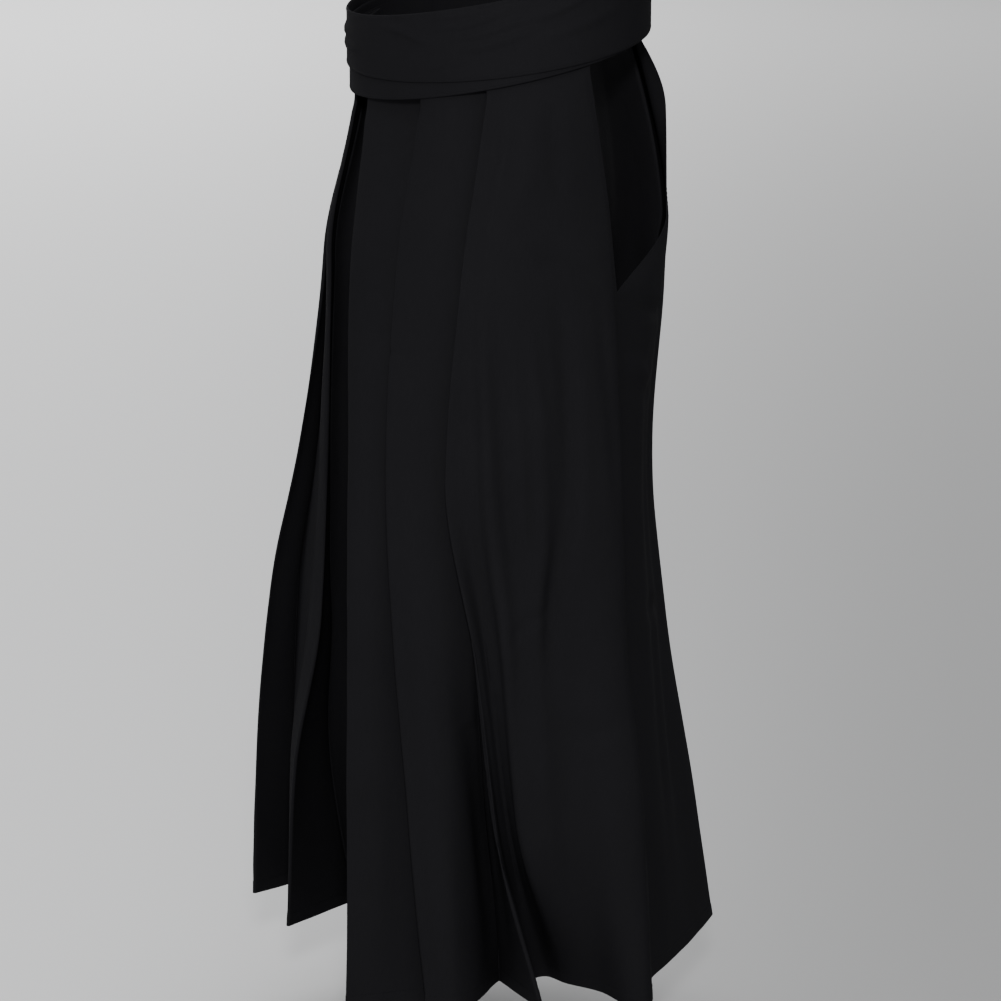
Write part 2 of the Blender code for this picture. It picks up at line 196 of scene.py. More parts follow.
def through(heights, places, z):
    """The place at each height of z, on a cubic from each given place to the next.

    The slope at a given place is the harmonic mean of the slopes of the straight lines on its
    two sides, or 0 where these point opposite ways, so the curve never swings past a place.
    """
    h, p = np.asarray(heights, float), np.asarray(places, float)
    step = np.diff(p, axis=0) / np.diff(h)[:, None]
    same_way = step[:-1] * step[1:] > 0
    mean = 2 * step[:-1] * step[1:] / np.where(same_way, step[:-1] + step[1:], 1.0)
    slope = np.vstack([step[:1], np.where(same_way, mean, 0.0), step[-1:]])
    z = np.clip(z, h[-1], h[0])
    i = np.clip(np.searchsorted(-h, -z, side="right") - 1, 0, len(h) - 2)
    span = (h[i + 1] - h[i])[:, None]
    s = (z - h[i])[:, None] / span
    ease = s * s * (3 - 2 * s)
    return (p[i] * (1 - ease) + p[i + 1] * ease
            + slope[i] * span * s * (1 - s) ** 2 - slope[i + 1] * span * s * s * (1 - s))


def within_waist(places, margin):
    """Places outside the waist's outline, an ellipse, are brought onto it."""
    size = np.linalg.norm(places / (WAIST - margin), axis=-1, keepdims=True)
    return places / np.maximum(size, 1.0)


def stops(folds, heights, edge, z):
    """What the cloth passes at each height, from the middle: (place, kind, run) in turn.

    A pleat is two stops. Its crest is at the fold's place, and the hollow behind it lies `tuck`
    further along the cloth and `drop` further in. Both grow as the third power of the way down.
    `run` is the straight way from the crest before to the crest after.
    """
    places = [through(heights, fold.places, z) for fold in folds]
    behind_belt = smooth(UNDER_BELT, -BELT_HEIGHT / 2, z)[:, None]
    places = [place + (within_waist(place, margin=2.0) - place) * behind_belt for place in places]
    places[0][:, 0] *= z < CROTCH    # above the crotch the first seam lies on the middle
    opened = np.clip(z / HEM, 0.0, 1.0)[:, None] ** 3
    crests = [k for k, fold in enumerate(folds) if fold.kind != "hollow"]
    found = []
    for i, fold in enumerate(folds):
        if fold.kind != "pleat":
            found.append((places[i], "plain", None))
            continue
        before = places[max(k for k in crests if k < i)]
        after = places[min(k for k in crests if k > i)]
        along = unit(after - places[i])
        tuck = fold.tuck[0] + (fold.tuck[1] - fold.tuck[0]) * opened
        drop = fold.drop[0] + (fold.drop[1] - fold.drop[0]) * opened
        found.append((places[i] + along * tuck + inner_side(along) * drop, "hollow", unit(after - before)))
        found.append((places[i], "crest", unit(after - before)))
    return found + [(edge, "plain", None)]


def ways(passed, z, first, last):
    """The cloth's direction into and out of each stop.

    At a plain stop both are the mean of the straight ways to its neighbours. At a pressed fold
    the higher rows turn back along `run`, and the lower rows go straight on to the neighbours.
    """
    flat = 1.0 - np.clip(z / HEM, 0.0, 1.0)[:, None]
    onward = 1.2 - flat
    place = [stop[0] for stop in passed]
    gone = [unit(b - a) for a, b in zip(place, place[1:])]
    into, out = [], []
    for (_, kind, run), before, after in zip(passed, [0.0] + gone, gone + [0.0]):
        if kind == "plain":
            into.append(unit(before + after))
            out.append(into[-1])
        else:
            folded = flat * run * (1.0 if kind == "hollow" else -1.0)
            into.append(unit(folded + onward * before))
            out.append(unit(-folded + onward * after))
    if first is not None:
        out[0] = first
    if last is not None:
        into[-1] = np.where(np.isnan(last), into[-1], last)
    return into, out


def row_points(passed, into, out):
    """Places along every row (rows, columns, 2), and each column's number of stops passed.

    A pressed fold is a half circle as wide as two layers of cloth. From one stop to the next
    the cloth follows a cubic with the given directions at its ends.
    """
    turn = np.linspace(0.0, np.pi, 7)[None, :, None]
    bits, number = [], []
    start = None
    for i, (place, kind, _) in enumerate(passed):
        if kind == "plain":
            arc = place[:, None]
        else:
            tip = unit(into[i] - out[i])
            side = inner_side(tip) * (1.0 if kind == "hollow" else -1.0)
            half_circle = side[:, None] * np.cos(turn) + tip[:, None] * np.sin(turn)
            arc = place[:, None] + LAYERS / 2 * half_circle
        if i:
            end = arc[:, 0]
            reach = np.linalg.norm(end - start, axis=1)[:, None, None]
            count = int(max(np.ceil(reach.max() / COLUMN_STEP), 3))
            s = (np.arange(1, count) / count)[None, :, None]
            ease = s * s * (3 - 2 * s)
            bend = out[i - 1][:, None] * s * (1 - s) ** 2 - into[i][:, None] * s * s * (1 - s)
            bits.append(start[:, None] * (1 - ease) + end[:, None] * ease + reach * bend)
            number.append(i - 1 + s[0, :, 0])
        bits.append(arc)
        number.append(np.full(arc.shape[1], float(i)))
        start = arc[:, -1]
    return np.concatenate(bits, axis=1), np.concatenate(number)


def levels(top, bottom):
    """Heights of the rows, evenly spaced from top to bottom, with closer ones at the hem's edge."""
    even = np.linspace(top, bottom + 15.0, int(round((top - bottom) / ROW_STEP)))
    over_hem = np.array([13.5, 12.5, 11.5, 8.0, 4.0, 1.5, 0.6, 0.0])
    return np.concatenate([even, bottom + over_hem])


def placed(rows, z, side, turn):
    """Points (rows, columns, 3) of rows in a panel's quarter. Above the vents they tilt with the belt."""
    behind_belt = smooth(UNDER_BELT, -BELT_HEIGHT / 2, z)[:, None, None]
    rows = rows + (within_waist(rows, margin=0.0) - rows) * behind_belt
    y = turn * rows[..., 1]
    lift = BELT_TILT * y * smooth(VENT, BELT_EDGE, z)[:, None]
    return np.stack([side * rows[..., 0], y, z[:, None] + lift], axis=-1)


def edged(rows, before, after):
    """Rows whose two edges reach a little past the seam, so that no light passes.

    Beyond each edge comes one column more. It lies on the way that the neighbouring panel takes,
    `before` the first edge or `after` the last one. Where an edge is free it lies straight on.
    """
    sides = []
    for near, inner, way in ((0, 1, before), (-1, -2, after)):
        own = unit(rows[:, near] - rows[:, inner])
        way = own if way is None else np.where(np.isnan(way), own, way)
        rows[:, near] += SEAM_LAP * own
        sides.append(rows[:, near] + COLUMN_STEP * way)
    return np.concatenate([sides[0][:, None], rows, sides[1][:, None]], axis=1)


def normals(grid):
    """Unit normals of a grid, from the products of its two central differences."""
    return unit(np.cross(np.gradient(grid, axis=1), np.gradient(grid, axis=0)))


def travelled(grid, axis):
    """The way along one axis of a grid, from its first point to each point."""
    step = np.linalg.norm(np.diff(grid, axis=axis), axis=-1)
    start = np.zeros_like(np.take(step, [0], axis=axis))
    return np.concatenate([start, np.cumsum(step, axis=axis)], axis=axis)


def clearance(grid):
    """Each point's distance to the nearest other cloth of its own row, and its way along the row.

    Cloth within `reach` along the row doesn't count, and no distance is over `far`.
    """
    reach, far = 13.0, 99.0
    run = travelled(grid, 1)
    gap = np.empty(run.shape)
    for row, along, line in zip(gap, run, grid):
        apart = np.linalg.norm(line[:, None] - line[None], axis=2)
        row[:] = np.where(np.abs(along[:, None] - along) > reach, apart, far).min(axis=1)
    return gap, run


Crease = namedtuple("Crease", "way line width depth lean", defaults=(0.0,))
Panel = namedtuple("Panel", "piece grid normal number z")


def crease_depth(creases, number, run, z):
    """How far creases lift the cloth (rows, columns).

    A crease follows a line of (stop number, height) and lifts by depth * exp(-(d / width)^2),
    with d the distance from the line, less a third of that at two widths on either side. It
    fades in and out over its first and last third. `lean` makes one of its flanks wider.
    """
    total = np.zeros(run.shape)
    columns = np.arange(len(number))
    for crease in creases:
        line = np.array(crease.line, float)
        if crease.way == "down":
            at = np.interp(-z, -line[:, 1], line[:, 0])
            column = np.interp(at, number, columns)
            low = np.minimum(column.astype(int), len(number) - 2)
            rows = np.arange(len(z))
            middle = run[rows, low] + (column - low) * (run[rows, low + 1] - run[rows, low])
            slope = np.gradient(middle, z)
            d = (run - middle[:, None]) / np.sqrt(1 + slope[:, None] ** 2)
            t = ((line[0, 1] - z) / (line[0, 1] - line[-1, 1]))[:, None]
        else:
            t = ((number - line[0, 0]) / (line[-1, 0] - line[0, 0]))[None]
            middle = np.interp(number, line[:, 0], line[:, 1])
            d = z[:, None] - middle[None] + 0 * run
            slope = np.gradient(middle) / np.maximum(np.gradient(run.mean(axis=0)), 0.5)
            d = d / np.sqrt(1 + slope[None] ** 2)
        width = crease.width * (1 + crease.lean * np.tanh(d / crease.width))
        shape = np.exp(-(d / width) ** 2) - 0.33 * np.exp(-((np.abs(d) - 2 * width) / width) ** 2)
        total += crease.depth * shape * smooth(0.0, 0.33, t) * smooth(1.0, 0.67, t)
    return total


def unevenness(run, z, seed):
    """Slow, uneven swells of hanging cloth, from sines of the way along it and of its height."""
    a, b = run + 17.0 * seed, z[:, None] - 41.0 * seed
    slow = np.sin(a / 31 + 1.7 * np.sin(b / 117)) * np.sin(b / 83 + 0.9 * np.sin(a / 53))
    quick = np.sin(a / 11.3 + 2.1 * np.sin(b / 61)) * np.sin(b / 29 + 1.3 * np.sin(a / 19 + seed))
    return 0.75 * slow + 0.22 * quick


def shell(name, grid, thickness, closed=False):
    """A shell of cloth half its thickness to each side of a grid (rows, columns, 3) in millimetres.

    The grid's first and last column only give the edges their direction. Returns the object,
    whose map of the cloth (u along a row, v up) is in metres.
    """
    normal = normals(grid)[:, 1:-1]
    grid = grid[:, 1:-1]
    shape = grid.shape[:2]
    half = normal * np.broadcast_to(thickness, shape)[..., None] / 2
    points = np.concatenate([(grid + half).reshape(-1, 3), (grid - half).reshape(-1, 3)]) / 1000.0
    number = np.arange(shape[0] * shape[1]).reshape(shape)
    if closed:
        number = np.concatenate([number, number[:, :1]], axis=1)
    other = number + shape[0] * shape[1]
    quads = [(number[:-1, :-1], number[:-1, 1:], number[1:, 1:], number[1:, :-1]),
             (other[:-1, :-1], other[1:, :-1], other[1:, 1:], other[:-1, 1:]),
             (number[0, :-1], other[0, :-1], other[0, 1:], number[0, 1:]),
             (number[-1, :-1], number[-1, 1:], other[-1, 1:], other[-1, :-1])]
    if not closed:
        quads += [(number[:-1, 0], number[1:, 0], other[1:, 0], other[:-1, 0]),
                  (number[:-1, -1], other[:-1, -1], other[1:, -1], number[1:, -1])]
    faces = np.concatenate([np.stack(q, axis=-1).reshape(-1, 4) for q in quads])
    mesh = bpy.data.meshes.new(name)
    mesh.vertices.add(len(points))
    mesh.vertices.foreach_set("co", points.ravel())
    mesh.loops.add(faces.size)
    mesh.loops.foreach_set("vertex_index", faces.ravel())
    mesh.polygons.add(len(faces))
    mesh.polygons.foreach_set("loop_start", np.arange(0, faces.size, 4))
    mesh.update(calc_edges=True)
    mesh.validate()
    flat = np.stack([travelled(grid, 1), -travelled(grid, 0)], axis=-1).reshape(-1, 2) / 1000.0
    corners = np.concatenate([flat, flat])[faces]
    if closed:
        column = faces % shape[1]
        round_the_end = column.max(axis=1, keepdims=True) - column > 1
        corners[..., 0] += np.where(round_the_end, corners[..., 0].max() * (1 + 1 / (shape[1] - 1)), 0.0)
    mesh.uv_layers.new(name="cloth").data.foreach_set("uv", corners.ravel())
    mesh.shade_smooth()
    mesh.set_sharp_from_angle(angle=math.radians(60))
    piece = bpy.data.objects.new(name, mesh)
    bpy.context.scene.collection.objects.link(piece)
    return piece


def cotton(name, black):
    """Matt, tightly woven black cotton: warp and weft ridges, uneven yarn, slightly worn patches."""
    thread, one_ridge_each, darkest, palest = 0.00055, 0.314, 0.80, 1.22
    cloth = bpy.data.materials.new(name)
    cloth.use_nodes = True
    nodes, links = cloth.node_tree.nodes, cloth.node_tree.links
    shader = nodes["Principled BSDF"]
    shader.inputs["Roughness"].default_value = 0.85
    shader.inputs["Specular IOR Level"].default_value = 0.012

    def node(kind, **values):
        made = nodes.new(kind)
        for key, value in values.items():
            setattr(made, key, value)
        return made

    flat = node("ShaderNodeUVMap", uv_map="cloth")
    ridges = []
    for turn in (0.0, math.pi / 2):
        lay = node("ShaderNodeMapping")
        lay.inputs["Rotation"].default_value = (0.0, 0.0, turn)
        lay.inputs["Scale"].default_value = (1 / thread,) * 3
        wave = node("ShaderNodeTexWave", wave_type="BANDS", bands_direction="X")
        wave.inputs["Scale"].default_value = one_ridge_each
        wave.inputs["Distortion"].default_value = 0.6
        wave.inputs["Detail Scale"].default_value = 0.5
        links.new(flat.outputs["UV"], lay.inputs["Vector"])
        links.new(lay.outputs["Vector"], wave.inputs["Vector"])
        ridges.append(wave.outputs["Fac"])
    weave = node("ShaderNodeMath", operation="MULTIPLY")
    links.new(ridges[0], weave.inputs[0])
    links.new(ridges[1], weave.inputs[1])

    yarn_lay = node("ShaderNodeMapping")
    yarn_lay.inputs["Scale"].default_value = (700.0, 60.0, 1.0)
    yarn = node("ShaderNodeTexNoise")
    yarn.inputs["Scale"].default_value = 1.0
    yarn.inputs["Detail"].default_value = 3.0
    links.new(flat.outputs["UV"], yarn_lay.inputs["Vector"])
    links.new(yarn_lay.outputs["Vector"], yarn.inputs["Vector"])

    worn = node("ShaderNodeTexNoise")
    worn.inputs["Scale"].default_value = 9.0
    worn.inputs["Detail"].default_value = 4.0
    place = node("ShaderNodeTexCoord")
    links.new(place.outputs["Object"], worn.inputs["Vector"])

    shade = node("ShaderNodeMix", data_type="RGBA")
    shade.inputs[6].default_value = (*[darkest * c for c in black], 1.0)
    shade.inputs[7].default_value = (*[palest * c for c in black], 1.0)
    mottle = node("ShaderNodeMath", operation="MULTIPLY_ADD")
    mottle.inputs[1].default_value = 0.45
    patches = node("ShaderNodeMath", operation="MULTIPLY")
    patches.inputs[1].default_value = 0.55
    links.new(worn.outputs["Fac"], patches.inputs[0])
    links.new(yarn.outputs["Fac"], mottle.inputs[0])
    links.new(patches.outputs["Value"], mottle.inputs[2])
    links.new(mottle.outputs["Value"], shade.inputs[0])
    links.new(shade.outputs[2], shader.inputs["Base Color"])

    fine = node("ShaderNodeBump")
    fine.inputs["Strength"].default_value = 0.35
    fine.inputs["Distance"].default_value = 0.00012
    coarse = node("ShaderNodeBump")
    coarse.inputs["Strength"].default_value = 0.5
    coarse.inputs["Distance"].default_value = 0.0002
    links.new(weave.outputs["Value"], fine.inputs["Height"])
    links.new(yarn.outputs["Fac"], coarse.inputs["Height"])
    links.new(fine.outputs["Normal"], coarse.inputs["Normal"])
    links.new(coarse.outputs["Normal"], shader.inputs["Normal"])
    return cloth


def hang(name, rows, number, z, side, turn, before, after, creases, seed):
    """Turns a panel's rows into a finished shell of cloth with its creases.

    A crease takes up no more than a share of the room to the next layer, less some air between
    them. It fades under the belt and towards the two edges. The hem is turned in once.
    """
    share, air = 0.36, 0.4
    base = placed(edged(rows, before, after), z, side, turn)
    normal = normals(base) * side * turn
    room, run = clearance(base[:, 1:-1])
    lift = crease_depth(creases, number, run, z) + unevenness(run, z, seed)
    most = np.maximum(share * (room - CLOTH - air), 0.0)
    lift = most * np.tanh(lift / np.maximum(most, 1e-3))
    below_belt = smooth(-42.0, -70.0, z)[:, None]
    lift *= below_belt * smooth(0.0, 14.0, np.minimum(run, run[:, -1:] - run))
    grid = base.copy()
    grid[:, 1:-1] += normal[:, 1:-1] * lift[..., None]
    turned_in = smooth(HEM_STITCHES + 1.0, HEM_STITCHES - 0.5, z)[:, None] + np.zeros(run.shape)
    piece = shell(name, grid, CLOTH + HEM_FOLD * turned_in)
    piece.data.materials.append(cotton(name + "_cotton", black=(0.0102, 0.0100, 0.0112)))
    return Panel(piece, grid[:, 1:-1], normal[:, 1:-1], number, z)


Quarter = namedtuple("Quarter", "turn heights vent")
FRONT = Quarter(-1.0, FRONT_HEIGHTS, FRONT_VENT)


def leg_panel(name, quarter, folds, seam, beside, inner, side, creases, seed):
    """A leg's front or back panel, from the middle seam to the vent's edge and the side seam.

    `beside` is the other panel's last fold before the side seam, and `inner` the inner-leg
    panel's middle. Both give heights and places, and so do `seam` and the quarter's vent, whose
    places are (outwards, backwards) on both panels. The inner leg's are (outwards, forwards).
    """
    z = levels(PANEL_TOP, HEM)
    sewn, below = (z <= VENT)[:, None], (z < CROTCH)[:, None]
    edge = np.where(sewn, through(*seam, z), through(*quarter.vent, z)) * [1.0, quarter.turn]
    passed = stops(folds, quarter.heights, edge, z)
    level = unit(np.stack([z - HEM, np.maximum(CROTCH - z, 0.0)], axis=-1))
    level = np.where(below, level, [1.0, 0.0])
    across = np.where(sewn, unit(through(*beside, z) * BACKWARD - passed[-2][0]), np.nan)
    into, out = ways(passed, z, level, across)
    rows, number = row_points(passed, into, out)
    before = unit(through(*inner, z) * [1.0, -quarter.turn] - passed[0][0])
    before = np.where(below, before, [-1.0, 0.0])
    return hang(name, rows, number, z, side, quarter.turn, before, across, creases, seed)


LEFT_FRONT_CREASES = [
    # Two soft ripples fall over the hip and fade on their way down.
    Crease("down", [(8.74, -190), (8.84, -342), (8.90, -454), (8.98, -537), (8.88, -650), (8.90, -900)],
           7, 4.0, 0.2),
    Crease("down", [(9.06, -200), (9.16, -342), (9.20, -454), (9.28, -537), (9.20, -650), (9.24, -900)],
           9, -4.6),
    Crease("down", [(9.60, -235), (9.78, -350), (9.80, -412), (9.82, -470), (9.75, -530), (9.76, -600)],
           6, 3.2),
    Crease("down", [(10.10, -215), (10.20, -320), (10.20, -400), (10.16, -460), (10.02, -530), (9.98, -620)],
           8, -4.2),
    Crease("down", [(10.74, -215), (10.80, -330), (10.88, -400), (10.94, -470)], 6, -1.4),
    Crease("across", [(8.95, -566), (9.2, -553), (9.6, -538), (10.0, -534)], 5, -2.6),
    # Small gathers hang from the belt, and a slack fold lies below it.
    Crease("down", [(7.5, -44), (7.8, -80), (8.2, -140)], 6, -1.2),
    Crease("down", [(8.9, -44), (9.1, -90), (9.3, -165)], 8, -1.4),
    Crease("down", [(9.9, -44), (10.0, -100), (10.2, -170)], 8, -1.2),
    Crease("across", [(2.1, -98), (2.4, -87), (2.9, -70)], 5, -1.4),
    Crease("across", [(2.1, -284), (2.4, -283), (2.9, -278)], 4, -1.2),
    Crease("across", [(2.2, -303), (2.8, -299), (4.6, -297), (5.4, -291)], 4, -1.3),
    # Slow waves run down the faces between the pleats.
    Crease("down", [(2.28, -240), (2.30, -400), (2.32, -640), (2.28, -1000)], 15, 3.6),
    Crease("down", [(4.30, -260), (4.36, -400), (4.42, -640), (4.46, -1000)], 17, 4.6),
    Crease("down", [(5.95, -520), (6.0, -640), (6.0, -760), (6.0, -905)], 13, 5.0),
    Crease("down", [(7.9, -500), (8.0, -640), (8.05, -760), (8.1, -905)], 10, 8.0),
    Crease("down", [(10.5, -260), (10.45, -420), (10.5, -620), (10.6, -860)], 20, 1.8),
    Crease("down", [(10.25, -560), (10.2, -680), (10.05, -800), (10.1, -900)], 14, -3.0),
    Crease("down", [(10.88, -470), (10.90, -600), (10.88, -780), (10.88, -1040)], 13, 5.5, -0.55),
    Crease("across", [(10.1, -632), (10.4, -648), (10.9, -640)], 9, -1.8),
    Crease("across", [(9.6, -205), (10.2, -214), (10.9, -232)], 7, -2.0),
]
left_front = leg_panel("left_front_cloth", FRONT, LEFT_FRONT, LEFT_SEAM,
                       (BACK_HEIGHTS, LEFT_BACK_OUTER), LEFT_INNER, 1.0, LEFT_FRONT_CREASES, seed=1.0)
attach(left_front.piece, "root")
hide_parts("front_left")

# The right front panel mirrors the left one's making, but has two pleats. Its leg stands
# further out and back, so that its pleats open more widely.
RIGHT_FRONT = [
    Fold("seam", [(0, 116), (0, 118), (0, 100), (22, 84), (44, 66), (65, 50)]),
    Fold("pleat", [(62, 117), (62, 146), (74, 146), (84, 149), (128, 159), (158, 155)], (24, 52), (6, 89)),
    Fold("pleat", [(118, 85), (106, 130), (149, 139), (197, 152), (247, 147), (272, 142)],
         (24, 60), (6, 16)),
    Fold("soft", [(146, 48), (160, 92), (192, 88), (232, 82), (280, 72), (316, 62)]),
    Fold("hollow", [(157, 15), (170, 38), (190, 36), (218, 30), (252, 18), (282, 8)]),
    Fold("soft", [(159, -3), (166, -30), (188, -38), (222, -40), (268, -42), (310, -45)]),
]
RIGHT_SEAM = (SEAM_HEIGHTS, [(154, 46), (172, 56), (200, 62), (240, 70), (274, 78)])
RIGHT_BACK_OUTER = [(50, 121), (64, 149), (118, 100), (140, 98), (172, 108), (216, 118), (252, 128)]
RIGHT_INNER = (INNER_HEIGHTS, [(1, 0), (28, 8), (54, 20), (78, 28)])
RIGHT_FRONT_CREASES = [
    # Slow waves between the pleats, and a long ripple over the hip.
    Crease("down", [(2.4, -90), (2.45, -280), (2.4, -480), (2.5, -860)], 14, -2.4),
    Crease("down", [(0.5, -120), (0.45, -300), (0.5, -380)], 14, 1.6),
    Crease("down", [(4.35, -160), (4.4, -360), (4.35, -600), (4.45, -880)], 13, 3.0),
    Crease("down", [(4.7, -240), (4.72, -420), (4.7, -640), (4.66, -820)], 12, -4.2),
    Crease("down", [(5.3, -180), (5.36, -330), (5.4, -480), (5.3, -640)], 8, 4.4),
    Crease("down", [(5.62, -210), (5.66, -350), (5.7, -500), (5.64, -690)], 10, -4.8),
    Crease("down", [(6.5, -300), (6.45, -500), (6.5, -700), (6.4, -880)], 18, 3.0),
    # Gathers under the belt, and shorter wrinkles across.
    Crease("down", [(4.5, -44), (4.6, -80), (4.8, -130)], 5, -1.6),
    Crease("down", [(5.2, -44), (5.3, -90), (5.4, -150)], 5, -1.8),
    Crease("down", [(6.1, -44), (6.0, -95), (5.9, -160)], 5, -1.6),
    Crease("across", [(2.1, -118), (2.5, -104), (2.9, -92)], 5, -1.5),
    Crease("across", [(5.1, -560), (5.5, -544), (6.1, -556)], 6, -2.8),
    Crease("across", [(6.0, -640), (6.4, -626), (6.9, -634)], 8, -1.8),
]
right_front = leg_panel("right_front_cloth", FRONT, RIGHT_FRONT, RIGHT_SEAM,
                        (BACK_HEIGHTS, RIGHT_BACK_OUTER), RIGHT_INNER, -1.0, RIGHT_FRONT_CREASES, seed=2.0)
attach(right_front.piece, "root")
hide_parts("front_right")

# The left back panel is a width of the same cotton, with one deep pleat next to the middle
# seam. Its upper edge runs slantwise down from the belt to the lower end of the side opening,
# where the side seam starts.
BACK_VENT = ([BELT_EDGE, -110.0, -190.0, VENT], [(60, 118), (70, 142), (76, 141), (150, 44)])
BACK = Quarter(1.0, BACK_HEIGHTS, BACK_VENT)
LEFT_BACK = [
    Fold("seam", [(0, 117), (0, 134), (0, 132), (0, 106), (-4, 108), (-8, 112), (-12, 116)]),
    Fold("pleat", [(20, 127), (44, 158), (44, 157), (46, 143), (42, 161), (35, 198), (12, 240)],
         (20, 60), (6, 60)),
    Fold("hollow", [(38, 124), (56, 155), (78, 136), (84, 114), (82, 128), (78, 152), (66, 186)]),
    Fold("soft", LEFT_BACK_OUTER),
]
BACK_CREASES = [
    # The seat's cloth hangs from the belt in slow waves, with a few soft wrinkles across.
    Crease("down", [(2.4, -60), (2.5, -220), (2.45, -420), (2.4, -700)], 15, -2.6),
    Crease("down", [(0.5, -80), (0.5, -200), (0.45, -360)], 14, 1.8),
    Crease("down", [(3.3, -260), (3.35, -430), (3.3, -600), (3.4, -860)], 14, 1.8),
    Crease("down", [(3.7, -280), (3.72, -430), (3.7, -620), (3.75, -840)], 12, -1.8),
    Crease("down", [(4.45, -290), (4.5, -430), (4.45, -600), (4.5, -870)], 14, 1.6),
    Crease("across", [(2.2, -262), (2.8, -276), (3.6, -270), (4.6, -262)], 7, -2.2),
    Crease("across", [(3.1, -318), (3.8, -330), (4.8, -312)], 8, 2.0),
    Crease("across", [(2.6, -548), (3.3, -560), (4.4, -546)], 9, -2.4),
    Crease("across", [(2.3, -150), (2.6, -146), (2.9, -152)], 6, -1.4),
]
left_back = leg_panel("left_back_cloth", BACK, LEFT_BACK, LEFT_SEAM,
                      (FRONT_HEIGHTS, LEFT_FRONT[-1].places), LEFT_INNER, 1.0, BACK_CREASES, seed=3.0)
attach(left_back.piece, "root")
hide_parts("back_left")

# The right back panel is cut and pleated as the left one is. Its leg stands further out, so
# that its cloth spreads more to the side.
RIGHT_BACK = [
    Fold("seam", [(0, 117), (0, 134), (0, 132), (0, 106), (22, 104), (44, 104), (65, 106)]),
    Fold("pleat", [(20, 127), (40, 160), (44, 156), (52, 145), (66, 164), (92, 196), (118, 222)],
         (20, 60), (6, 60)),
    Fold("hollow", [(38, 124), (54, 155), (80, 136), (96, 122), (122, 138), (160, 158), (196, 180)]),
    Fold("soft", RIGHT_BACK_OUTER),
]
right_back = leg_panel("right_back_cloth", BACK, RIGHT_BACK, RIGHT_SEAM,
                       (FRONT_HEIGHTS, RIGHT_FRONT[-1].places), RIGHT_INNER, -1.0, BACK_CREASES, seed=4.0)
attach(right_back.piece, "root")
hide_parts("back_right")

# An inner-leg panel closes each leg's tube from the crotch down. It is a plain narrow width of
# the same cotton, seamed to the front's middle edge and to the back's.


def inner_leg(name, front_folds, back_folds, inner, side, seed):
    """An inner-leg panel. Above its first row it narrows into the crotch seam in straight lines.

    That seam runs along the middle, from the back panels' edge to the front panels'.
    """
    first_row, seam_back, seam_front, off_middle = -465.0, -104.0, 98.0, 0.95
    z = levels(CROTCH, HEM)
    low = np.minimum(z, first_row)
    front_edge = through(FRONT_HEIGHTS, front_folds[0].places, low)
    back_edge = through(BACK_HEIGHTS, back_folds[0].places, low) * BACKWARD
    passed = [(back_edge, "plain", None), (through(*inner, low), "plain", None), (front_edge, "plain", None)]
    into, out = ways(passed, low, None, None)
    rows, number = row_points(passed, into, out)
    share = np.clip((z - first_row) / (CROTCH - first_row), 0.0, 1.0)[:, None, None]
    along_seam = np.linspace(seam_back, seam_front, len(number))
    top = np.stack([np.full(len(number), off_middle), along_seam], axis=-1)
    rows = rows * (1 - share) + top * share
    return hang(name, rows, number, z, side, -1.0, None, None, [], seed)


left_inner = inner_leg("left_inner_leg_cloth", LEFT_FRONT, LEFT_BACK, LEFT_INNER, 1.0, seed=5.0)
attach(left_inner.piece, "root")
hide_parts("inner_leg_left")
right_inner = inner_leg("right_inner_leg_cloth", RIGHT_FRONT, RIGHT_BACK, RIGHT_INNER, -1.0, seed=6.0)
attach(right_inner.piece, "root")
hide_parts("inner_leg_right")

# The belt is a long doubled strip of the same cotton, sewn to the front panels' tops. It is
# wound twice round the waist, and this is its first turn, which lies on the pleats.
BELT_CLOTH = 2.4           # its two layers with what is folded in between them


